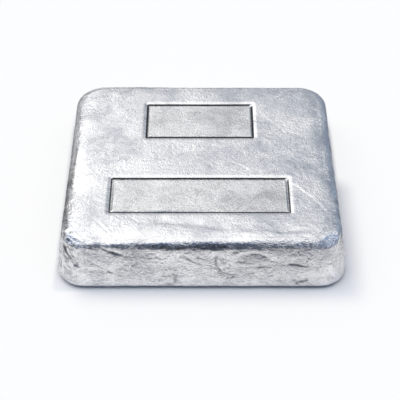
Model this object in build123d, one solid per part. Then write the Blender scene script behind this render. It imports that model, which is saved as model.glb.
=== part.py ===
from build123d import *
from math import atan2, degrees
import os

# A tin ingot: one casting, poured in an open mould with leaning walls and turned out to stand on
# its poured face, with two blank panels pressed into the face that lay on the mould's floor.
# Millimetres. +Z is up, the origin is the middle of the poured face on which the ingot stands,
# +X runs along the longer side, and the panels read upright from -Y.

# Driving dimensions of the casting
base_width = 95.9
base_depth = 87.4
height = 18.4
end_lean = 9.75             # degrees that the left and right walls lean in, to leave the mould
side_lean = 12.35           # the same, for the front and back walls
corner_radius = 9.5         # upright corners
top_edge_radius = 3.75
foot_edge_radius = 2.0      # meniscus round the poured face

# Sunk middle of the poured face, where the metal shrank last
sink_radius = 33.0
sink_depth = 0.8

# Pressed panels, each measured over the outer edge of the line that frames it
panel_x = -0.6
upper_panel = {"width": 37.7, "length": 18.2, "y": 19.4}
lower_panel = {"width": 59.3, "length": 16.4, "y": -17.9}
panel_corner_radius = 0.5

# Section of a panel's edge, with depths below the open surface
shoulder_width = 1.0        # metal dragged down around the die
shoulder_depth = 0.3
line_width = 1.1            # framing line, at its mouth
line_floor_width = 0.5
line_depth = 0.6
line_wall_run = 0.12        # how far the line's outer wall slopes in
floor_depth = 0.3           # pressed floor inside the line


def leaning_walls(plane, base, lean, across):
    """A long block with two leaning walls, drawn as a trapezoid on an upright plane."""
    section = plane * Trapezoid(base, height, 90 - lean, align=(Align.CENTER, Align.MIN))
    return extrude(section, across / 2, both=True)


def casting():
    """The block as it leaves the mould: leaning walls, round corners, soft top edge."""
    ends = leaning_walls(Plane.XZ, base_width, end_lean, base_depth)
    sides = leaning_walls(Plane.YZ, base_depth, side_lean, base_width)
    block = ends & sides
    poured_face, mould_face = block.faces().filter_by(Axis.Z).sort_by(Axis.Z)
    block = fillet(block.edges() - poured_face.edges() - mould_face.edges(), corner_radius)
    block = fillet(block.faces().sort_by(Axis.Z)[-1].edges(), top_edge_radius)
    return fillet(block.faces().sort_by(Axis.Z)[0].edges(), foot_edge_radius)


def shrinkage_sink():
    """The shallow spherical hollow that shrinkage leaves in the poured face."""
    sphere_radius = (sink_radius**2 + sink_depth**2) / (2 * sink_depth)
    return Pos(0, 0, sink_depth - sphere_radius) * Sphere(sphere_radius)


def panel_die(width, length, y):
    """The die that pressed a panel: a sloping shoulder, a raised frame line and a flat middle."""

    def tapered(inset, depth, end_inset, end_depth):
        """A block between two depths, whose outline is inset from the line's outer edge."""
        top = Plane.XY.offset(height - depth)
        radius = max(panel_corner_radius - inset, panel_corner_radius / 2)
        start = top * RectangleRounded(width - 2 * inset, length - 2 * inset, radius)
        drop = end_depth - depth
        return extrude(start, -drop, taper=degrees(atan2(end_inset - inset, drop)))

    shoulder = tapered(-shoulder_width, 0, 0, shoulder_depth)
    line = tapered(0, shoulder_depth, line_wall_run, line_depth)
    middle = tapered(line_width, floor_depth, line_wall_run + line_floor_width, line_depth)
    return Pos(panel_x, y, 0) * (shoulder + line - middle)


def ingot():
    """The finished casting, with its sunk poured face and its two pressed panels."""
    body = casting() - shrinkage_sink()
    for panel in (upper_panel, lower_panel):
        body -= panel_die(**panel)
    return body


os.makedirs("parts", exist_ok=True)
export_step(ingot(), "parts/ingot.step")
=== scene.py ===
import itertools
import math

import bpy
import numpy as np
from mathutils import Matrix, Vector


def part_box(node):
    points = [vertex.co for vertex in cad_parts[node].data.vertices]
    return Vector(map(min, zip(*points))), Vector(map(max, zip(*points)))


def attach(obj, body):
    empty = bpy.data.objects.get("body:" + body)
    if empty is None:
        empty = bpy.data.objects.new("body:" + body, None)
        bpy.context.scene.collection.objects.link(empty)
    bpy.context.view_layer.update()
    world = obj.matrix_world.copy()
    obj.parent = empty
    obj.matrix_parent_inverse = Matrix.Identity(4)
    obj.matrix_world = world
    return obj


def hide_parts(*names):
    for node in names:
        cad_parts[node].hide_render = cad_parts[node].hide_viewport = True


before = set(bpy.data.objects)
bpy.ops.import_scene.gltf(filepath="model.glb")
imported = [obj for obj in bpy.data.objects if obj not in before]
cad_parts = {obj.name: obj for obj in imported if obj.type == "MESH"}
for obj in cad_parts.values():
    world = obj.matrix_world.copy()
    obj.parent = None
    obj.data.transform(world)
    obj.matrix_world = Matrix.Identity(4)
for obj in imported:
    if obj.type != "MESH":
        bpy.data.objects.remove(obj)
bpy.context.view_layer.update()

# Lengths are millimetres here, and become metres where Blender takes them
METRE = 0.001

# The casting: the outer size is the frame's, the rest is the mould's shape
box_low, box_high = (np.array(corner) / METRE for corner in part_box("ingot"))
HEIGHT = box_high[2]
LEAN = np.radians([9.75, 12.35])        # of the end walls, and of the front and back walls
CORNER_RADIUS = 9.5
TOP_EDGE_RADIUS = 3.75
FOOT_EDGE_RADIUS = 2.0
SINK_RADIUS = 33.0
SINK_DEPTH = 0.8

lean = np.tan(LEAN)
wall_tilt = math.pi / 2 - LEAN.mean()
half_foot = box_high[:2] + FOOT_EDGE_RADIUS * (lean + 1 / np.cos(LEAN) - 1)
half_core = half_foot - CORNER_RADIUS - HEIGHT * lean       # middles of the top's corner rounds
half_top = half_core + CORNER_RADIUS                        # as if the top edge weren't rounded
setback = TOP_EDGE_RADIUS * np.tan((math.pi / 2 - LEAN) / 2)

# Pressed panels: middle and half size over the framing line, and how far in oxide fills its sides
PANELS = [
    {"middle": (-0.6, 19.4), "half": (18.85, 9.1), "filled": {"ends": 0.75, "far": 0.5, "near": 1.0}},
    {"middle": (-0.6, -17.9), "half": (29.65, 8.2), "filled": {"ends": 0.48, "far": 0.55, "near": 0.8}},
]
PANEL_CORNER_RADIUS = 0.5
SHOULDER_WIDTH = 1.0
SHOULDER_DEPTH = 0.3
SHOULDER_RUN = (-1.3 * SHOULDER_WIDTH, 0.1)     # a soft curve, a little longer than the shoulder
LINE_STEPS = [0.0, 0.12, 0.62, 1.1]             # outer edge, foot of its wall, ends of the inner slope
LINE_DEPTHS = [SHOULDER_DEPTH, 0.6, 0.6, 0.3]
OXIDE_EDGE = 0.8                                # a little way up the inner slope
OXIDE_START = (-0.1, 0.02)                      # how softly the oxide starts and ends
OXIDE_END = (-0.2, 0.05)
NICK_INSET = 0.5                                # dragged metal in each panel's far right corner
NICK_RADIUS = 0.7

# The top sinks gently towards its rounded edge
ROLL_WIDTH = 4.2
ROLL_DEPTH = 0.28
ROLL_UNEVENNESS = 0.6

# The near halves of the ends, and a stretch of the back, stand fuller than the plain casting
FULLNESS = 0.35
FULL_ENDS = (-28.0, 4.0)                        # Y over which the ends' fullness fades out
FULL_BACK = {"x": -25.0, "reach": 14.0}
FULL_RISE = (3.0, 9.0)                          # Z over which it grows

# The front edge is worn back along some stretches, and stands fuller where the depth is negative
WORN_EDGE = [
    {"x": -3.0, "reach": 9.0, "depth": 0.12},
    {"x": 24.0, "reach": 13.0, "depth": 0.05},
    {"x": -31.0, "reach": 10.0, "depth": -0.42},
]
WEAR_START, WEAR_PEAK, WEAR_END = 0.4, 3.2, 6.4     # along the skin, past the flat top

# Flattened front corners: azimuth from the back towards the right, elevation, and depth of the flat
FACETS = [
    {"azimuth": 139, "elevation": 42, "depth": 0.55},
    {"azimuth": -139, "elevation": 42, "depth": 0.32},
]

# The left front corner is crumpled, and dark oxide is left around it as specks
CRUMPLED_CORNER = {"x": -40.5, "y": -36.0, "reach": 6.0, "height": 1.9, "crumples": 0.8, "fine": 0.3}
SPECKLED_CORNER = {"x": -42.5, "y": -35.0, "reach": 6.0, "oxide": 0.75}

# Faults of the front wall, drawn as X and Z. A lap is a rim with a hollow on the right of its path.
LAPS = [
    {"path": [(19, 16.6), (25, 16.0), (31, 16.1), (37, 16.8)], "depth": 0.28, "reach": 3.0},
    {"path": [(-30, 16.2), (-24, 15.5), (-18, 15.2), (-12, 15.8)], "depth": 0.33, "reach": 3.2},
    {"path": [(5.8, 14.6), (4.7, 12.2), (5.0, 9.8), (6.5, 7.6), (9.2, 6.1), (13, 6.5)],
     "depth": 0.45, "reach": 1.8},
    {"path": [(8, 15.2), (12, 15.9), (17, 15.7), (22, 14.4)], "depth": 0.25, "reach": 1.4},
]
CRACKS = [
    {"path": [(10, 9.0), (16, 8.9), (22.5, 9.4), (28.9, 10.1), (35, 9.2)], "depth": 0.15, "width": 0.28},
    {"path": [(27, 9.9), (31, 9.9), (35.5, 9.1)], "depth": 0.28, "width": 0.28},
    {"path": [(29.9, 2.6), (32.4, 3.4), (34.7, 4.8)], "depth": 0.35, "width": 0.30},
    {"path": [(-36.5, 18.3), (-32, 16.4), (-28, 14.2), (-25.5, 13.8)], "depth": 0.35, "width": 0.28},
    {"path": [(-44.6, 15.5), (-43.6, 12.6), (-41, 9.5), (-39, 8.4)], "depth": 0.22, "width": 0.34},
    {"path": [(-37, 11.7), (-29.3, 7.1), (-23.6, 4.4)], "depth": 0.20, "width": 0.30},
    {"path": [(-7, 14.2), (-3.5, 11.6), (1, 9.3)], "depth": 0.18, "width": 0.35},
    {"path": [(-3, 14.4), (0.5, 12.0), (4, 10.4)], "depth": 0.16, "width": 0.30},
]
SWIRL = {"x": 16.3, "z": 12.3, "half_length": 5.2, "half_height": 2.3, "depth": 0.22, "oxide": 0.16}
LAP_OXIDE = {"by_depth": 1.6, "most": 0.7}
CRACK_OXIDE = {"by_depth": 1.8, "most": 0.8}

# Long shallow scratches on the top, drawn as X and Y, each a rim with a groove on the right of its path
SCRATCHES = [
    [(-1, 0.2), (3, -2.5), (7.5, -6.6)],
    [(5, 1.4), (9, -0.8), (14, -3.8), (18, -7.0)],
    [(29, -11), (33, -14.5), (37, -19), (40, -23.5), (42.5, -28)],
    [(-34, -1.5), (-28, 1.0), (-22, 2.2)],
    [(-33.5, -29.5), (-31, -32.5), (-28.5, -35.5)],
    [(20.5, 24), (24, 20.5), (28, 16), (30.5, 11.5)],
]
SCRATCH_RIM = {"height": 0.13, "width": 0.4}
SCRATCH_GROOVE = {"depth": 0.11, "width": 0.5, "apart": 0.7}

# Shallow troughs that the last metal left behind the front edge, drawn as X and Y
TROUGHS = [
    {"path": [(-18, -30.0), (-10, -30.6), (-2, -31.4), (5, -33.2), (13, -34.0)], "depth": 0.30},
    {"path": [(9, -33.4), (21, -33.6), (29, -34.4), (39, -33.6)], "depth": 0.28},
]
TROUGH_FAR_WIDTH = 3.4
TROUGH_NEAR_WIDTH = 0.9

# How far the drawn paths wander, on the top and on the front wall
TOP_WANDER = 0.5
FRONT_WANDER = 0.3

# Heights of the relief on each part of the cast skin
TOP_HEIGHTS = {"swells": 0.12, "patches": 0.10, "streaks": 0.04}
EDGE_HEIGHTS = {"wander": 0.30, "lumps": 0.25, "crumples": 0.16, "fine": 0.06}
WALL_HEIGHTS = {"swells": 0.16, "broad": 0.30, "creased": 0.18, "fine": 0.05}
UNDERSIDE_HEIGHT = 0.15
BULGE_MEAN = 0.3                # about the mean height of a creased pattern
BROAD_BULGE_MEAN = 0.35         # and of the walls' broad one
CREASE_WIDTH = 0.05
NOISE_GAIN = 1.6                # brings smooth noise to about -1 and 1
SKIN_SHARPNESS = 9.0            # how sharply the skin turns from flush to hollow

# Shares of the relief that smooth parts lose, and of the fine bumps that calm parts lose
SMOOTHED = {"front_edge": 0.55, "floors": 0.8, "wear": 0.8, "faults": 0.9}
CALMED = {"floors": 0.15, "wear": 0.55, "faults": 0.6}

# Shares of oxide in wall creases, dirt and painted shade under the foot, dark patches on the ends,
# painted shade on the front's right
CREASE_OXIDE = {"broad": 0.5, "fine": 0.35}
UNDERSIDE_DIRT_AND_PAINTED_SHADE = 0.8
END_DARK_PATCHES = {"least": 0.05, "more": 0.45, "y": -15.0, "reach": 12.0}
FRONT_RIGHT_PAINTED_SHADE = 0.13

# Mesh
TOP_PITCH = 0.44
ARC_STEPS = 18
WALL_STEPS = 36
FOOT_STEPS = 9
COARSER = 4                     # vertices of the foot for each vertex of the underside
UNDERSIDE_STEPS = 20
ON_STEP = 0.001                 # closeness that puts a vertex on a step of a panel's edge


# Helpers

def smoothstep(value, start, end):
    """0 before start, 1 after end, and an even curve between them."""
    t = np.clip((value - start) / (end - start), 0, 1)
    return t * t * (3 - 2 * t)


def bell(value, width):
    """1 at zero, falling to nothing within a few widths."""
    return np.exp(-(value / width)**2)


def direction(azimuth, elevation):
    """A unit vector, with azimuth in degrees from the back towards the right."""
    turn, rise = math.radians(azimuth), math.radians(elevation)
    return (math.sin(turn) * math.cos(rise), math.cos(turn) * math.cos(rise), math.sin(rise))


# Noise for the relief

def noise(points, grain, seed):
    """Smooth noise between about -1 and 1, with features as large as the grain along X, Y and Z."""
    random = np.random.default_rng(seed)
    shuffled = random.permutation(256)
    gradients = random.normal(size=(256, 3))
    gradients /= np.linalg.norm(gradients, axis=1, keepdims=True)
    scaled = points / (np.array(grain, dtype=float) * np.ones(3))
    cell = np.floor(scaled).astype(int)
    local = scaled - cell
    fade = local**3 * (local * (local * 6 - 15) + 10)
    total = np.zeros(len(points))
    for corner in itertools.product((0, 1), repeat=3):
        x, y, z = ((cell + corner) & 255).T
        gradient = gradients[shuffled[(shuffled[(shuffled[x] + y) & 255] + z) & 255]]
        weight = np.prod(np.where(corner, fade, 1 - fade), axis=1)
        total += weight * np.sum(gradient * (local - corner), axis=1)
    return NOISE_GAIN * total


def fractal(points, grain, seed, octaves=2):
    """Noise with finer and fainter copies of itself added."""
    grain = np.array(grain, dtype=float)
    return sum(noise(points, grain / 2**i, seed + i) / 2**i for i in range(octaves))


def warped(points, grain, amount, seed):
    """The points pushed about by noise, so that a pattern read at them swirls."""
    push = [noise(points, grain, seed + axis) for axis in range(3)]
    return points + amount * np.stack(push, axis=1)


def turned(points, degrees):
    """The points turned about Z, so that a long grain lies along another direction."""
    angle = math.radians(degrees)
    x, y, z = points.T
    return np.stack([x * math.cos(angle) + y * math.sin(angle),
                     y * math.cos(angle) - x * math.sin(angle), z], axis=1)


def creased(points, grain, push, seed):
    """Rounded bulges that meet in sharp creases: height, and closeness to a crease."""
    swell = fractal(warped(points, 1.2 * np.array(grain), push, seed), grain, seed + 3)
    return np.abs(swell), bell(swell, CREASE_WIDTH)


# The plain casting

def grid_lines(axis):
    """Positions of the top's grid lines along an axis, with one on every step of a panel's edge."""
    steps = [-SHOULDER_WIDTH, -SHOULDER_WIDTH / 2] + LINE_STEPS + [OXIDE_EDGE]
    stops = {-half_core[axis], half_core[axis]}
    for panel in PANELS:
        middle, half = panel["middle"][axis], panel["half"][axis]
        stops.update(middle - half + step for step in steps)
        stops.update(middle + half - step for step in steps)
    spans = [np.linspace(a, b, math.ceil((b - a) / TOP_PITCH), endpoint=False)
             for a, b in itertools.pairwise(sorted(stops))]
    return np.concatenate(spans + [[half_core[axis]]])


def wall_reach(z):
    """Reach of the end and side walls at a height, from the edge of a foot without its rounding."""
    drop = HEIGHT - z
    if drop < TOP_EDGE_RADIUS * (1 - math.sin(LEAN.mean())):
        return -HEIGHT * lean - setback + math.sqrt(TOP_EDGE_RADIUS**2 - (TOP_EDGE_RADIUS - drop)**2)
    if z < FOOT_EDGE_RADIUS * (1 + math.sin(LEAN.mean())):
        middle = -FOOT_EDGE_RADIUS * (lean + 1 / np.cos(LEAN))
        return middle + math.sqrt(max(FOOT_EDGE_RADIUS**2 - (FOOT_EDGE_RADIUS - z)**2, 0))
    return -z * lean


def section():
    """The casting's section from the flat top to the foot: reaches of both walls, height, tilt."""
    edge = -HEIGHT * lean
    flat_steps = round((CORNER_RADIUS - setback.mean()) / TOP_PITCH)
    flat = np.linspace(edge - CORNER_RADIUS, edge - setback, flat_steps + 1)[1:]
    rows = [(reach, HEIGHT, 0.0) for reach in flat]
    for tilt in np.linspace(0, wall_tilt, ARC_STEPS)[1:]:
        z = HEIGHT - TOP_EDGE_RADIUS * (1 - math.cos(tilt))
        rows.append((wall_reach(z), z, tilt))
    foot_top = FOOT_EDGE_RADIUS * (1 + math.cos(wall_tilt))
    for z in np.linspace(rows[-1][1], foot_top, WALL_STEPS)[1:]:
        rows.append((wall_reach(z), z, wall_tilt))
    for tilt in np.linspace(wall_tilt, math.pi, FOOT_STEPS)[1:]:
        z = FOOT_EDGE_RADIUS * (1 + math.cos(tilt))
        rows.append((wall_reach(z), z, tilt))
    return rows


def laid_flat(rows):
    """The reach of each row of the section, when its skin is laid out flat around the top."""
    flat = -HEIGHT * lean - CORNER_RADIUS
    last_place = (flat.mean(), HEIGHT)
    for reach, z, _ in rows:
        place = (reach.mean(), z)
        flat = flat + math.dist(place, last_place)
        last_place = place
        yield flat


def outline(reach, z, along_x, along_y):
    """One closed outline of the casting, anticlockwise from the left end of the front side."""
    radius = CORNER_RADIUS + np.mean(reach + z * lean)
    core = half_foot + reach - radius
    x = along_x / half_core[0] * core[0]
    y = along_y / half_core[1] * core[1]
    quarter = math.pi / 2
    turn = np.linspace(0, quarter, ARC_STEPS + 1)[1:-1]

    def arc(side_x, side_y, start):
        return np.stack([side_x * core[0] + radius * np.cos(start + turn),
                         side_y * core[1] + radius * np.sin(start + turn)], axis=1)

    def side(across, along):
        return np.stack(np.broadcast_arrays(across, along), axis=1)

    plan = np.concatenate([
        side(x, -core[1] - radius), arc(1, -1, -quarter),
        side(core[0] + radius, y), arc(1, 1, 0),
        side(x[::-1], core[1] + radius), arc(-1, 1, quarter),
        side(-core[0] - radius, y[::-1]), arc(-1, -1, 2 * quarter),
    ])
    return np.column_stack([plan, np.full(len(plan), z)])


def top_grid(along_x, along_y):
    """The flat top inside its corner rounds: vertices, faces, and its rim in an outline's order."""
    columns, rows = len(along_x), len(along_y)
    grid_x, grid_y = np.meshgrid(along_x, along_y)
    points = np.column_stack([grid_x.ravel(), grid_y.ravel(), np.full(columns * rows, HEIGHT)])
    number = np.arange(columns * rows).reshape(rows, columns)
    quads = np.stack([number[:-1, :-1], number[:-1, 1:], number[1:, 1:], number[1:, :-1]], axis=-1)
    sides = [number[0], number[:, -1], number[-1, ::-1], number[::-1, 0]]
    # Each corner of the grid repeats in the rim, once for each vertex of its arc
    rim = np.concatenate([np.append(side, np.full(ARC_STEPS - 1, side[-1])) for side in sides])
    return points, quads.reshape(-1, 4).tolist(), rim


def bridge(outer, inner):
    """Faces between two closed rows of vertices, with triangles where one row stands still."""
    faces = []
    for a, b, c, d in zip(inner, np.roll(inner, -1), np.roll(outer, -1), outer):
        face = [a, d, c, b] if a != b else [a, d, c]
        if d != c:
            faces.append(face)
    return faces


def coarser_bridge(coarse, fine):
    """Faces to a row of vertices that has one for every few of another row."""
    faces = []
    fine = np.append(fine, fine[0])
    for i in range(len(coarse)):
        a, b = coarse[i], coarse[(i + 1) % len(coarse)]
        span = fine[i * COARSER:(i + 1) * COARSER + 1]
        middle = COARSER // 2
        faces += [[span[k + 1], span[k], a] for k in range(middle)]
        faces.append([a, b, span[middle]])
        faces += [[span[k + 1], span[k], b] for k in range(middle, COARSER)]
    return faces


def underside(foot):
    """Rows of vertices from the foot to the middle of the sunk poured face."""
    rows = []
    for share in np.linspace(1, 0, UNDERSIDE_STEPS + 1)[1:-1]:
        row = foot * [share, share, 1]
        away = np.linalg.norm(row[:, :2], axis=1) / SINK_RADIUS
        row[:, 2] += SINK_DEPTH * np.clip(1 - away**2, 0, None)
        rows.append(row)
    return rows


def casting():
    """The plain casting: vertices, faces, tilt from upright, and places on its skin laid out flat."""
    along_x, along_y = grid_lines(0), grid_lines(1)
    # An even sum lets the underside's coarser rows divide each ring
    if (len(along_x) + len(along_y)) % 2:
        along_x = np.insert(along_x, 1, along_x[:2].mean())
    top, faces, inner = top_grid(along_x, along_y)
    points, skins, tilts = [top], [top], [np.zeros(len(top))]
    count = len(top)

    def add_row(row, skin, tilt, join):
        """Adds a closed row of vertices, joined to the last one."""
        nonlocal count, inner
        outer = np.arange(count, count + len(row))
        faces.extend(join(outer, inner))
        points.append(row)
        skins.append(skin)
        tilts.append(np.full(len(row), tilt))
        count += len(row)
        inner = outer

    rows = section()
    for (reach, z, tilt), flat in zip(rows, laid_flat(rows)):
        skin = outline(flat, HEIGHT, along_x, along_y)
        add_row(outline(reach, z, along_x, along_y), skin, tilt, bridge)
    for index, row in enumerate(underside(points[-1][::COARSER])):
        add_row(row, row, math.pi, bridge if index else coarser_bridge)
    middle = np.array([[0, 0, SINK_DEPTH]])
    points.append(middle)
    skins.append(middle)
    tilts.append([math.pi])
    faces += [[b, a, count] for a, b in zip(inner, np.roll(inner, -1))]
    return np.concatenate(points), faces, np.concatenate(tilts), np.concatenate(skins)


# Pressed panels

def inset(points, middle, half, radius):
    """How far inside a rounded rectangle each point lies, seen from above."""
    away = np.abs(points[:, :2] - middle) - (np.array(half) - radius)
    outside = np.linalg.norm(np.maximum(away, 0), axis=1)
    return radius - outside - np.minimum(away.max(axis=1), 0)


def line_oxide(points, panel, inside):
    """Share of oxide in a panel's framing line, which fills each of its sides to its own width."""
    from_ends, from_sides = (np.array(panel["half"]) - np.abs(points[:, :2] - panel["middle"])).T
    width = panel["filled"]
    filled = np.where(points[:, 1] > panel["middle"][1], width["far"], width["near"])
    filled = np.where(from_ends < from_sides, width["ends"], filled)
    ended = smoothstep(inside, filled + OXIDE_END[0], filled + OXIDE_END[1])
    return smoothstep(inside, *OXIDE_START) * (1 - ended)


def pressed(points):
    """Depth pressed below the top, shares of oxide and of pressed floor, and each point's step or -1."""
    depth = np.zeros(len(points))
    oxide = np.zeros(len(points))
    floor = np.zeros(len(points))
    step = np.full(len(points), -1)
    for panel in PANELS:
        inside = inset(points, panel["middle"], panel["half"], PANEL_CORNER_RADIUS)
        shoulder = SHOULDER_DEPTH * smoothstep(inside, *SHOULDER_RUN)
        depth += np.where(inside < 0, shoulder, np.interp(inside, LINE_STEPS, LINE_DEPTHS))
        oxide += line_oxide(points, panel, inside)
        floor += smoothstep(inside, LINE_STEPS[2], LINE_STEPS[3])
        for number, place in enumerate(LINE_STEPS):
            step[np.abs(inside - place) < ON_STEP] = number
    for panel in PANELS:
        nick = np.add(panel["middle"], panel["half"]) - NICK_INSET
        away = np.linalg.norm(points[:, :2] - nick, axis=1)
        filled = 1 - smoothstep(away, 0.5 * NICK_RADIUS, NICK_RADIUS)
        depth += filled * (np.minimum(depth, SHOULDER_DEPTH) - depth)
        oxide *= 1 - filled
    return depth, oxide, floor, step


def sharpen(mesh, step):
    """Keeps the steps of the panels' edges crisp."""
    ends = np.empty(2 * len(mesh.edges), dtype=np.int32)
    mesh.edges.foreach_get("vertices", ends)
    first, second = step[ends.reshape(-1, 2)].T
    sharp = (first == second) & (first >= 0)
    mesh.attributes.new("sharp_edge", "BOOLEAN", "EDGE").data.foreach_set("value", sharp)


# Relief of the cast skin

def stroke(places, path):
    """Distance from a drawn path, positive on its left, and a share that fades out at its two ends."""
    nearest = np.full(len(places), np.inf)
    signed = np.zeros(len(places))
    along = np.zeros(len(places))
    length = 0.0
    for start, end in itertools.pairwise(np.array(path, dtype=float)):
        step = end - start
        size = np.linalg.norm(step)
        away = places - start
        reached = np.clip(away @ step / size**2, 0, 1)
        distance = np.linalg.norm(away - reached[:, None] * step, axis=1)
        side = np.sign(step[0] * away[:, 1] - step[1] * away[:, 0])
        closer = distance < nearest
        nearest = np.where(closer, distance, nearest)
        signed = np.where(closer, side * distance, signed)
        along = np.where(closer, length + reached * size, along)
        length += size
    return signed, smoothstep(np.minimum(along, length - along), 0, 0.2 * length)


def top_relief(skin):
    """The top: slow swells, shallow patches, and the marks that flowing and freezing metal left."""
    flow = warped(skin, grain=15, amount=7, seed=40)
    streaks = fractal(turned(flow, 60), [7, 2.2, 6], seed=50)
    crossed = fractal(turned(flow, -50), [9, 2.0, 6], seed=55)
    to_right = smoothstep(noise(skin, 26, seed=60) + skin[:, 0] / 50, -0.3, 0.3)
    height = TOP_HEIGHTS["swells"] * fractal(skin, 30, seed=10)
    height += TOP_HEIGHTS["patches"] * fractal(skin, 9, seed=20)
    height += TOP_HEIGHTS["streaks"] * (streaks * (1 - to_right) + crossed * to_right)
    places = np.stack([skin[:, 0], skin[:, 1] + TOP_WANDER * noise(skin, 4, seed=65)], axis=1)
    for path in SCRATCHES:
        away, share = stroke(places, path)
        rim = SCRATCH_RIM["height"] * bell(away, SCRATCH_RIM["width"])
        groove = SCRATCH_GROOVE["depth"] * bell(away + SCRATCH_GROOVE["apart"], SCRATCH_GROOVE["width"])
        height += share * (rim - groove)
    for trough in TROUGHS:
        away, share = stroke(places, trough["path"])
        width = np.where(away > 0, TROUGH_FAR_WIDTH, TROUGH_NEAR_WIDTH)
        height -= share * trough["depth"] * bell(away, width)
    return height


def near_corner(points, corner):
    """Closeness to a corner, seen from above."""
    return bell(np.hypot(points[:, 0] - corner["x"], points[:, 1] - corner["y"]), corner["reach"])


def edge_relief(points):
    """The rounded edges: their radius wanders along the mould, and the skin there is crumpled."""
    lumps, _ = creased(points, [6, 6, 5], push=2.5, seed=75)
    crumples, _ = creased(points, [3.0, 3.0, 2.4], push=1.5, seed=76)
    fine = fractal(points, [1.6, 1.6, 1.3], seed=78)
    height = EDGE_HEIGHTS["lumps"] * (lumps - BULGE_MEAN)
    height += EDGE_HEIGHTS["crumples"] * (crumples - BULGE_MEAN) + EDGE_HEIGHTS["fine"] * fine
    height *= 1 - SMOOTHED["front_edge"] * smoothstep(-points[:, 1], half_core[1], half_top[1])
    corner = CRUMPLED_CORNER
    crushed = corner["crumples"] * (crumples - BULGE_MEAN) + corner["fine"] * fine
    height += near_corner(points, corner) * corner["height"] * crushed
    return height + EDGE_HEIGHTS["wander"] * noise(points, [15, 15, 9], seed=70)


def worn_edge(points, skin):
    """How far the front edge is worn back, or fuller where negative, and its share of wear."""
    past = -skin[:, 1] - (half_top[1] - setback[1])
    profile = smoothstep(past, WEAR_START, WEAR_PEAK) * (1 - smoothstep(past, WEAR_PEAK, WEAR_END))
    profile = np.where(points[:, 2] > HEIGHT / 2, profile, 0)
    depth = sum(worn["depth"] * bell(points[:, 0] - worn["x"], worn["reach"]) for worn in WORN_EDGE)
    return depth * profile, smoothstep(depth, 0, 0.15) * smoothstep(past, -1, 1)


def facet_sink(points, normals):
    """How far the flattened corners lie inside the plain casting."""
    sink = np.zeros(len(points))
    for facet in FACETS:
        toward = np.array(direction(facet["azimuth"], facet["elevation"]))
        reach = points @ toward
        beyond = np.clip(reach - (reach.max() - facet["depth"]), 0, None)
        sink += beyond / np.clip(normals @ toward, 0.3, None)
    return sink


def wall_relief(points):
    """The walls: bulges bent by the swirl of the pour, with oxide in some of their creases."""
    broad, deep_crease = creased(points, [13, 13, 6.5], push=6, seed=80)
    bulges, crease = creased(points, [5.5, 5.5, 3.2], push=3, seed=90)
    height = WALL_HEIGHTS["swells"] * noise(points, 14, seed=85)
    height += WALL_HEIGHTS["broad"] * (broad - BROAD_BULGE_MEAN)
    height += WALL_HEIGHTS["creased"] * (bulges - BULGE_MEAN)
    height += WALL_HEIGHTS["fine"] * fractal(points, [2.4, 2.4, 1.6], seed=98)
    stained = smoothstep(noise(points, 9, seed=103), -0.1, 0.5)
    oxide = CREASE_OXIDE["broad"] * deep_crease + CREASE_OXIDE["fine"] * crease
    return height, stained * np.clip(oxide, 0, 1)


def dark_patches_and_painted_shade(points):
    """Share of darkening: dark patches on the ends, painted shade on the front's right, oxide specks in
    a corner.
    """
    x, y, _ = points.T
    ends = smoothstep(np.abs(x), half_core[0] + 3, half_core[0] + 7)
    patches = smoothstep(fractal(points, [4, 5, 3], seed=150), -0.3, 0.5) * smoothstep(y, -34, -26)
    specks = smoothstep(fractal(points, [1.8, 1.8, 1.5], seed=155), 0.05, 0.4)
    heavier = bell(y - END_DARK_PATCHES["y"], END_DARK_PATCHES["reach"])
    patches_and_shade = ends * patches * (END_DARK_PATCHES["least"] + END_DARK_PATCHES["more"] * heavier)
    # Painted shade: the front wall is darkened towards its right
    patches_and_shade += FRONT_RIGHT_PAINTED_SHADE * (1 - ends) * smoothstep(x, 5, 28) * (y < 0)
    return patches_and_shade + SPECKLED_CORNER["oxide"] * near_corner(points, SPECKLED_CORNER) * specks


def front_faults(points):
    """Laps, cracks and the swirl of the front wall: height, share of oxide, share left smooth."""
    front = smoothstep(-points[:, 1], half_core[1], half_core[1] + 4)
    x = points[:, 0] + FRONT_WANDER * noise(points, 2.6, seed=125)
    z = points[:, 2] + FRONT_WANDER * noise(points, 2.4, seed=120)
    places = np.stack([x, z], axis=1)
    height = np.zeros(len(points))
    oxide = np.zeros(len(points))
    smooth = np.zeros(len(points))
    for lap in LAPS:
        away, share = stroke(places, lap["path"])
        hollow = share * smoothstep(-away, 0, 0.6) * np.clip(1 + away / lap["reach"], 0, 1)
        height -= lap["depth"] * hollow
        smooth += 0.7 * hollow
        stain = min(LAP_OXIDE["by_depth"] * lap["depth"], LAP_OXIDE["most"])
        oxide += share * stain * bell(away + 0.3, 0.35)
    for crack in CRACKS:
        away, share = stroke(places, crack["path"])
        groove = share * bell(away, crack["width"])
        height -= crack["depth"] * groove
        oxide += min(CRACK_OXIDE["by_depth"] * crack["depth"], CRACK_OXIDE["most"]) * groove
    across, up = (x - SWIRL["x"]) / SWIRL["half_length"], (z - SWIRL["z"]) / SWIRL["half_height"]
    oval = smoothstep(1 - np.hypot(across, up), -0.1, 0.15)
    height -= SWIRL["depth"] * oval * (1 + up)
    oxide += SWIRL["oxide"] * oval
    return front * height, front * np.clip(oxide, 0, 1), front * np.clip(oval + smooth, 0, 1)


def roll_off(skin, tilts):
    """How far the top has sunk towards its rounded edge."""
    inside = inset(skin, (0, 0), half_top, CORNER_RADIUS) - setback.mean()
    width = ROLL_WIDTH * (1 + ROLL_UNEVENNESS * noise(skin, 9, seed=140))
    near = 1 - np.clip(inside / width, 0, 1)
    return ROLL_DEPTH * near**2 * np.clip(np.cos(tilts), 0, 1)


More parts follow.
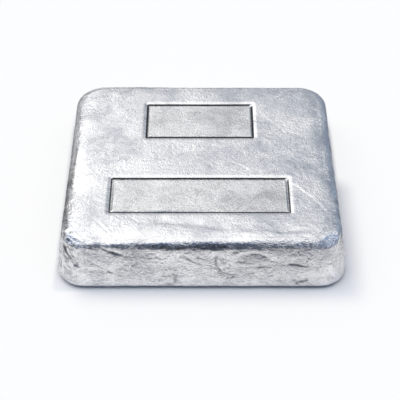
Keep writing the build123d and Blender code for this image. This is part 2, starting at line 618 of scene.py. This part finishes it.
def fuller(points, degrees):
    """How far some walls stand out, between the foot and the top edge."""
    x, y, z = points.T
    ends = smoothstep(np.abs(x), half_core[0], half_top[0]) * (1 - smoothstep(y, *FULL_ENDS))
    back = smoothstep(y, half_core[1], half_top[1]) * bell(x - FULL_BACK["x"], FULL_BACK["reach"])
    return FULLNESS * (ends + back) * smoothstep(z, *FULL_RISE) * smoothstep(degrees, 15, 60)


def shares_by_tilt(degrees):
    """Shares of the top, its rounded edge, the walls and the underside, by tilt from upright."""
    top = 1 - smoothstep(degrees, 10, 60)
    edge = smoothstep(degrees, 0, 25) * (1 - smoothstep(degrees, 55, 100))
    under = smoothstep(degrees, 120, 175)
    wall = smoothstep(degrees, 40, 75) * (1 - under)
    return top, edge, wall, under


def relief(points, skin, tilts, floor):
    """How far the cast skin lies off the plain casting, and shares of oxide and painted shade, calm,
    wall and edge.
    """
    degrees = np.degrees(tilts)
    top, edge, wall, under = shares_by_tilt(degrees)
    fault_height, fault_oxide, smooth = front_faults(points)
    wall_height, wall_oxide = wall_relief(points)
    worn, wear = worn_edge(points, skin)
    height = top * (1 - SMOOTHED["floors"] * floor) * top_relief(skin)
    height += edge * (1 - SMOOTHED["wear"] * wear) * edge_relief(points)
    height += wall * ((1 - SMOOTHED["faults"] * smooth) * wall_height + fault_height)
    height += under * UNDERSIDE_HEIGHT * fractal(points, 9, seed=110)
    # The mould holds the skin back, so it is flush where it touches and hollow elsewhere
    flush = -np.logaddexp(0, -SKIN_SHARPNESS * height) / SKIN_SHARPNESS
    height = flush + fuller(points, degrees) - worn - roll_off(skin, tilts)
    oxide = wall * np.clip((1 - smooth) * wall_oxide + fault_oxide, 0, 1)
    # Adds the dark patches on the ends, the painted shade on the front's right and the corner's oxide
    # specks
    oxide = np.clip(oxide + dark_patches_and_painted_shade(points) * smoothstep(degrees, 15, 50), 0, 1)
    # Dirt and painted contact shade darken the underside, from the lower foot inwards
    oxide = np.maximum(oxide, UNDERSIDE_DIRT_AND_PAINTED_SHADE * smoothstep(degrees, 95, 130))
    calm = np.maximum(CALMED["faults"] * wall * smooth, CALMED["wear"] * edge * wear)
    return height, {"oxide": oxide, "calm": calm, "wall": wall, "edge": edge}


# Materials

# Tones of the top, the walls and the pressed floors: place in the mottling, and colour
TOP_TONES = [(0.38, (0.58, 0.595, 0.63)), (0.5, (0.75, 0.755, 0.77)), (0.62, (0.87, 0.87, 0.87))]
WALL_TONES = [(0.40, (0.58, 0.58, 0.60)), (0.5, (0.795, 0.795, 0.815)), (0.60, (0.935, 0.935, 0.95))]
FLOOR_TONES = [(0.40, (0.45, 0.45, 0.455)), (0.5, (0.72, 0.72, 0.72)), (0.60, (0.93, 0.93, 0.92))]
HAIRLINE_COLOUR = (0.16, 0.165, 0.18, 1.0)
# Dark colour of oxide, also used for the painted shade under the foot and on the front's right
OXIDE_AND_PAINTED_SHADE_COLOUR = (0.034, 0.037, 0.044, 1.0)
BUMP_HEIGHTS = {"grain": 0.11, "streaks": 0.10, "hairlines": 0.05}
HAIRLINE_FORCE = 0.6

# The floor is most shaded around the ingot's front and the near half of its right end
SHADE_LOW = np.array([box_low[0] + 11, box_low[1], 0])
SHADE_HIGH = np.array([box_high[0], 2.0, HEIGHT])
SHADE_RUN = (-0.5, 9.0)         # distances over which it fades out
CONTACT_WIDTH = 1.8
FLOOR_WHITE = (0.97, 0.97, 0.97, 1.0)
FLOOR_GLOW = 0.8                # share of white that goes straight to the viewer


class Nodes:
    """A fresh node tree, with functions that add a node and give its output."""

    def __init__(self, owner):
        owner.use_nodes = True
        self.tree = owner.node_tree
        self.tree.nodes.clear()

    def add(self, kind, inputs=None, **settings):
        """A node with given settings, and with its inputs set or linked."""
        node = self.tree.nodes.new(kind)
        for name, value in settings.items():
            setattr(node, name, value)
        for name, value in (inputs or {}).items():
            socket = node.inputs[name]
            if isinstance(value, bpy.types.NodeSocket):
                self.tree.links.new(value, socket)
            else:
                socket.default_value = value
        return node

    def share(self, name):
        """A share stored on the mesh."""
        return self.add("ShaderNodeAttribute", attribute_name=name).outputs["Fac"]

    def math(self, operation, first, second=0.0):
        """An operation on one or two numbers."""
        return self.add("ShaderNodeMath", {0: first, 1: second}, operation=operation).outputs[0]

    def vector(self, operation, first, second=(0, 0, 0), third=(0, 0, 0), output="Vector"):
        """An operation on vectors."""
        inputs = {0: first, 1: second, 2: third}
        return self.add("ShaderNodeVectorMath", inputs, operation=operation).outputs[output]

    def limited(self, value, low, high, start=0.0, end=1.0, curve="LINEAR"):
        """A value that goes from start to end while another goes from low to high."""
        inputs = {"Value": value, "From Min": low, "From Max": high, "To Min": start, "To Max": end}
        return self.add("ShaderNodeMapRange", inputs, interpolation_type=curve).outputs["Result"]

    def mix(self, factor, first, second):
        """A number between two others."""
        inputs = {"Factor": factor, 2: first, 3: second}
        return self.add("ShaderNodeMix", inputs, data_type="FLOAT").outputs[0]

    def mix_colour(self, factor, first, second):
        """A colour between two others."""
        inputs = {"Factor": factor, 6: first, 7: second}
        return self.add("ShaderNodeMix", inputs, data_type="RGBA").outputs[2]

    def ramp(self, value, stops):
        """A colour from stops, each a position and a colour."""
        node = self.add("ShaderNodeValToRGB", {"Fac": value})
        elements = node.color_ramp.elements
        while len(elements) < len(stops):
            elements.new(1.0)
        for element, (position, colour) in zip(elements, stops):
            element.position = position
            element.color = (*colour, 1.0)
        return node.outputs["Color"]

    def pattern(self, place, scale, detail, distortion=0.0, output="Fac"):
        """Noise over the skin laid out flat."""
        inputs = {"Vector": place, "Scale": scale, "Detail": detail, "Roughness": 0.6,
                  "Distortion": distortion}
        return self.add("ShaderNodeTexNoise", inputs, noise_dimensions="2D").outputs[output]

    def bump(self, height, strength, distance, normal=None):
        """Normals with bumps, on top of others where they are given."""
        inputs = {"Height": height, "Strength": strength, "Distance": distance * METRE}
        if normal is not None:
            inputs["Normal"] = normal
        return self.add("ShaderNodeBump", inputs).outputs["Normal"]


def skin_marks(nodes, skin):
    """Patterns that the tin's colour, roughness and bumps share."""
    swirl = nodes.pattern(skin, 0.10, 2.0, output="Color")
    swirl = nodes.vector("SUBTRACT", swirl, (0.5, 0.5, 0.5))
    flow = nodes.vector("MULTIPLY_ADD", swirl, (10.0, 10.0, 0.0), skin)

    def strokes(angle, length, width, detail=4.0):
        inputs = {"Vector": flow, "Rotation": (0, 0, math.radians(angle)),
                  "Scale": (1 / length, 1 / width, 1.0)}
        place = nodes.add("ShaderNodeMapping", inputs).outputs[0]
        return nodes.pattern(place, 1.0, detail, distortion=0.6)

    def hairlines(angle, length, width):
        off_middle = nodes.math("SUBTRACT", strokes(angle, length, width, detail=2.0), 0.5)
        return nodes.limited(nodes.math("ABSOLUTE", off_middle), 0.0, 0.022, 1.0, 0.0)

    patch = nodes.limited(nodes.pattern(skin, 0.11, 2.0), 0.42, 0.58)
    lines = nodes.mix(patch, hairlines(-38, 9.0, 2.6), hairlines(40, 8.0, 2.4))
    broken = nodes.limited(nodes.pattern(skin, 0.32, 3.0), 0.5, 0.62)
    return {
        "streaks": nodes.mix(patch, strokes(50, 3.2, 1.0), strokes(-48, 3.6, 0.9)),
        "hairlines": nodes.math("MULTIPLY", lines, broken),
        "grain": nodes.pattern(skin, 1.1, 4.0, distortion=0.6),
        "cloud": nodes.pattern(flow, 0.07, 4.0, distortion=0.4),
        "speckle": nodes.pattern(skin, 2.6, 3.0),
    }


def tin_colour(nodes, marks, shares):
    """The tin's tones on the top, the walls and the pressed floors, under hairlines, oxide and painted
    shade.
    """
    mottle = nodes.mix(0.4, marks["cloud"], marks["streaks"])
    wall_mottle = nodes.mix(0.4, mottle, marks["grain"])
    wall_mottle = nodes.mix(0.35, wall_mottle, marks["speckle"])
    floor_mottle = nodes.mix(0.5, mottle, marks["speckle"])
    colour = nodes.ramp(mottle, TOP_TONES)
    colour = nodes.mix_colour(shares["floor"], colour, nodes.ramp(floor_mottle, FLOOR_TONES))
    colour = nodes.mix_colour(shares["wall"], colour, nodes.ramp(wall_mottle, WALL_TONES))
    line_share = nodes.limited(shares["wall"], 0.0, 1.0, 0.12, 0.45)
    lines = nodes.math("MULTIPLY", marks["hairlines"], line_share)
    colour = nodes.mix_colour(lines, colour, HAIRLINE_COLOUR)
    # The oxide share also holds the painted shade under the foot and on the front's right
    return nodes.mix_colour(shares["oxide"], colour, OXIDE_AND_PAINTED_SHADE_COLOUR)


def tin_roughness(nodes, marks, shares):
    """The grain's roughness, less on the rounded edges and more on the pressed floors."""
    rough = nodes.limited(marks["grain"], 0.3, 0.7, 0.17, 0.30)
    rough = nodes.math("MULTIPLY", rough, nodes.limited(shares["edge"], 0.0, 1.0, 1.0, 0.5))
    return nodes.math("ADD", rough, nodes.limited(shares["floor"], 0.0, 1.0, 0.0, 0.14))


def tin_bumps(nodes, marks, shares, skin):
    """Fine bumps in patches, stronger on the walls and edges, and fading where the skin is calm."""
    force = nodes.limited(nodes.pattern(skin, 0.085, 3.0), 0.38, 0.62, 0.45, 1.4)
    for name, factor in (("wall", 1.35), ("edge", 1.5), ("calm", 0.0)):
        force = nodes.math("MULTIPLY", force, nodes.limited(shares[name], 0.0, 1.0, 1.0, factor))
    normal = nodes.bump(marks["grain"], force, BUMP_HEIGHTS["grain"])
    normal = nodes.bump(marks["streaks"], force, BUMP_HEIGHTS["streaks"], normal)
    return nodes.bump(marks["hairlines"], HAIRLINE_FORCE, BUMP_HEIGHTS["hairlines"], normal)


def tin_material():
    """Cast tin: bright, with a clouded, finely marked skin, dark oxide left in lines and creases, and
    painted shade on its underside and the right of its front.
    """
    material = bpy.data.materials.new("tin")
    nodes = Nodes(material)
    skin = nodes.add("ShaderNodeAttribute", attribute_name="skin").outputs["Vector"]
    shares = {name: nodes.share(name) for name in ("oxide", "calm", "wall", "edge", "floor")}
    marks = skin_marks(nodes, skin)
    metal = nodes.add("ShaderNodeBsdfPrincipled", {
        "Base Color": tin_colour(nodes, marks, shares),
        "Metallic": 1.0,
        "Roughness": tin_roughness(nodes, marks, shares),
        "Normal": tin_bumps(nodes, marks, shares, skin),
    })
    nodes.add("ShaderNodeOutputMaterial", {"Surface": metal.outputs["BSDF"]})
    return material


def away_from_box(nodes, place, low, high):
    """Distance from a box, given by two corners."""
    middle, half = (low + high) / 2 * METRE, (high - low) / 2 * METRE
    away = nodes.vector("ABSOLUTE", nodes.vector("SUBTRACT", place, middle))
    away = nodes.vector("MAXIMUM", nodes.vector("SUBTRACT", away, half))
    return nodes.vector("LENGTH", away, output="Value")


def floor_material():
    """A matte white floor; off the shade, part of its white goes straight to camera and reflections."""
    material = bpy.data.materials.new("floor")
    nodes = Nodes(material)
    matte = nodes.add("ShaderNodeBsdfDiffuse", {"Color": FLOOR_WHITE}).outputs["BSDF"]
    white = nodes.add("ShaderNodeEmission", {"Color": (1.0, 1.0, 1.0, 1.0), "Strength": 1.0})
    ray = nodes.add("ShaderNodeLightPath").outputs
    seen = nodes.math("MAXIMUM", ray["Is Camera Ray"], ray["Is Glossy Ray"])
    seen = nodes.math("MAXIMUM", seen, ray["Is Transmission Ray"])
    place = nodes.add("ShaderNodeTexCoord").outputs["Object"]
    off_ingot = away_from_box(nodes, place, box_low, box_high)
    off_contact = nodes.limited(off_ingot, 0.0, CONTACT_WIDTH * METRE, curve="SMOOTHSTEP")
    off_shade = away_from_box(nodes, place, SHADE_LOW, SHADE_HIGH)
    start, end = (distance * METRE for distance in SHADE_RUN)
    off_shade = nodes.limited(off_shade, start, end, 0.0, FLOOR_GLOW, curve="SMOOTHSTEP")
    share = nodes.math("MULTIPLY", seen, nodes.math("MULTIPLY", off_contact, off_shade))
    floor = nodes.add("ShaderNodeMixShader", {"Fac": share, 1: matte, 2: white.outputs["Emission"]})
    nodes.add("ShaderNodeOutputMaterial", {"Surface": floor.outputs["Shader"]})
    return material


def card_material(name, bands):
    """A glowing card, with bands of colour up its height."""
    material = bpy.data.materials.new(name)
    nodes = Nodes(material)
    place = nodes.add("ShaderNodeTexCoord").outputs["Generated"]
    height = nodes.add("ShaderNodeSeparateXYZ", {"Vector": place}).outputs["Z"]
    glow = nodes.add("ShaderNodeEmission", {"Color": nodes.ramp(height, bands), "Strength": 1.0})
    nodes.add("ShaderNodeOutputMaterial", {"Surface": glow.outputs["Emission"]})
    return material


# Pieces

def add_object(name, points, faces, material):
    """A new mesh object, from points in millimetres."""
    mesh = bpy.data.meshes.new(name)
    mesh.from_pydata((np.asarray(points) * METRE).tolist(), [], faces)
    mesh.materials.append(material)
    piece = bpy.data.objects.new(name, mesh)
    bpy.context.scene.collection.objects.link(piece)
    return piece


def make_ingot():
    """The ingot: the plain casting, with its cast skin and its pressed panels."""
    points, faces, tilts, skin = casting()
    piece = add_object("ingot_casting", points, faces, tin_material())
    mesh = piece.data
    mesh.shade_smooth()
    normals = np.empty(points.size)
    mesh.vertex_normals.foreach_get("vector", normals)
    normals = normals.reshape(-1, 3)

    on_top = tilts == 0
    depth, panel_oxide, floor, step = pressed(points)
    floor = floor * on_top
    height, shares = relief(points, skin, tilts, floor)
    height -= facet_sink(points, normals)
    surface = points + normals * height[:, None]
    surface[:, 2] -= depth * on_top
    mesh.vertices.foreach_set("co", (surface * METRE).ravel())

    shares["oxide"] = shares["oxide"] + panel_oxide * on_top
    shares["calm"] = np.maximum(shares["calm"], CALMED["floors"] * floor)
    shares["floor"] = floor
    mesh.attributes.new("skin", "FLOAT_VECTOR", "POINT").data.foreach_set("vector", skin.ravel())
    for name, values in shares.items():
        mesh.attributes.new(name, "FLOAT", "POINT").data.foreach_set("value", values)
    sharpen(mesh, np.where(on_top, step, -1))
    mesh.update()
    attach(piece, "root")
    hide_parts("ingot")


def make_floor():
    """A plain white floor, just under the ingot."""
    size, z = 3000.0, -0.02
    corners = [(-size, -size, z), (size, -size, z), (size, size, z), (-size, size, z)]
    add_object("floor", corners, [(0, 1, 2, 3)], floor_material())


def make_card(name, start, end, tall, bands):
    """An upright card, seen only in reflections, from one place on the floor to another."""
    (x0, y0), (x1, y1) = start, end
    corners = [(x0, y0, 0), (x1, y1, 0), (x1, y1, tall), (x0, y0, tall)]
    card = add_object(name, corners, [(0, 1, 2, 3)], card_material(name, bands))
    card.visible_camera = False
    card.visible_diffuse = False
    card.visible_shadow = False


def shaded(bands, share):
    """The bands of a card, with their colours made darker or lighter."""
    return [(place, tuple(share * value for value in colour)) for place, colour in bands]


def make_cards():
    """Cards that give the bright metal its dark edges. Their bands are shares of their height."""
    black, dark = (0.035, 0.04, 0.05), (0.10, 0.105, 0.12)
    grey, pale_grey = (0.22, 0.22, 0.235), (0.54, 0.54, 0.55)
    slate, mid_slate, pale_slate = (0.13, 0.15, 0.19), (0.16, 0.185, 0.24), (0.27, 0.31, 0.39)
    blue, pale_blue, haze = (0.21, 0.29, 0.43), (0.56, 0.62, 0.72), (0.40, 0.43, 0.48)
    left_bands = [(0.2, dark), (0.4, pale_grey), (0.62, pale_grey), (0.8, grey), (1.0, grey)]
    right_bands = [(0.25, slate), (0.45, pale_blue), (0.7, blue), (0.85, pale_blue), (1.0, blue)]
    beside, front, back = 56, -95, 115
    make_card("left_near_card", (-beside, -24), (-beside, 8), 32, shaded(left_bands, 0.72))
    make_card("left_far_card", (-beside, 8), (-beside, 95), 32, shaded(left_bands, 1.22))
    make_card("right_card", (beside, -30), (beside, 95), 27, shaded(right_bands, 0.9))
    make_card("front_left_card", (-75, front), (-24, front), 85, [(0.0, slate), (1.0, pale_slate)])
    make_card("front_card", (-24, front), (11, front), 66, [(0.0, dark), (0.3, black), (1.0, black)])
    make_card("front_right_card", (11, front), (75, front), 66, [(0.0, slate), (1.0, mid_slate)])
    for side in (-105, 105):
        make_card("corner_card", (side, front), (side, -30), 40, [(0.0, dark), (1.0, slate)])
    make_card("back_card", (-110, back), (110, back), 30, [(0.0, haze), (1.0, haze)])


# Light and camera

# The studio's plain walls: sine of the elevation, and colour
STUDIO_WALLS = [
    (0.0, (0.56, 0.57, 0.59)),
    (0.25, (0.72, 0.72, 0.735)),
    (0.5, (1.0, 1.0, 1.01)),
    (0.7, (1.18, 1.18, 1.185)),
    (0.9, (1.28, 1.28, 1.28)),
]

# Zones over those walls: azimuth, elevation, full and fading radius in degrees, and colour
STUDIO_ZONES = [
    (50, 30, 30, 50, (0.40, 0.44, 0.51)),       # cool wall to the right
    (-30, 37, 7, 17, (1.92, 1.9, 1.87)),        # window low on the left
    (-72, 58, 15, 30, (2.5, 2.46, 2.42)),       # soft light to the left
    (80, 60, 10, 24, (1.55, 1.55, 1.55)),       # fainter light to the right
    (0, 83, 23, 32, (1.42, 1.40, 1.38)),        # soft light overhead
    (0, 90, 8, 17, (1.12, 1.11, 1.10)),         # and its fainter middle
    (180, 18, 44, 54, (0.22, 0.32, 0.55)),      # blue rim of the dark room behind the camera
    (180, 18, 36, 45, (0.08, 0.10, 0.145)),     # the dark room
    (108, 28, 12, 24, (0.46, 0.67, 1.05)),      # blue light in the corners of that room
    (-108, 28, 12, 24, (0.42, 0.60, 0.95)),
]


def make_world():
    """A soft studio: bright overhead and to the left, cooler to the right, dark behind the camera."""
    world = bpy.data.worlds.new("studio")
    bpy.context.scene.world = world
    nodes = Nodes(world)
    toward = nodes.add("ShaderNodeTexCoord").outputs["Generated"]
    up = nodes.add("ShaderNodeSeparateXYZ", {"Vector": toward}).outputs["Z"]
    colour = nodes.ramp(up, STUDIO_WALLS)
    for azimuth, elevation, full, fading, zone_colour in STUDIO_ZONES:
        near = nodes.vector("DOT_PRODUCT", toward, direction(azimuth, elevation), output="Value")
        edge, core = math.cos(math.radians(fading)), math.cos(math.radians(full))
        share = nodes.limited(near, edge, core, curve="SMOOTHSTEP")
        colour = nodes.mix_colour(share, colour, (*zone_colour, 1.0))
    light = nodes.add("ShaderNodeBackground", {"Color": colour, "Strength": 1.0})
    nodes.add("ShaderNodeOutputWorld", {"Surface": light.outputs["Background"]})


def make_camera():
    """The photograph's view: 45 degrees down, from straight in front."""
    target = np.array([-0.53, -2.11, 0.0])
    distance = 387.5
    elevation = math.radians(45)
    focal_pixels = 1100.4
    frame_pixels = 400
    data = bpy.data.cameras.new("camera")
    data.sensor_width = 36.0
    data.lens = data.sensor_width * focal_pixels / frame_pixels
    camera = bpy.data.objects.new("camera", data)
    back = np.array([0.0, -math.cos(elevation), math.sin(elevation)])
    camera.location = (target + distance * back) * METRE
    camera.rotation_euler = (math.pi / 2 - elevation, 0, 0)
    bpy.context.scene.collection.objects.link(camera)
    bpy.context.scene.camera = camera


make_ingot()
make_floor()
make_cards()
make_world()
make_camera()
bpy.context.scene.view_settings.view_transform = "Standard"
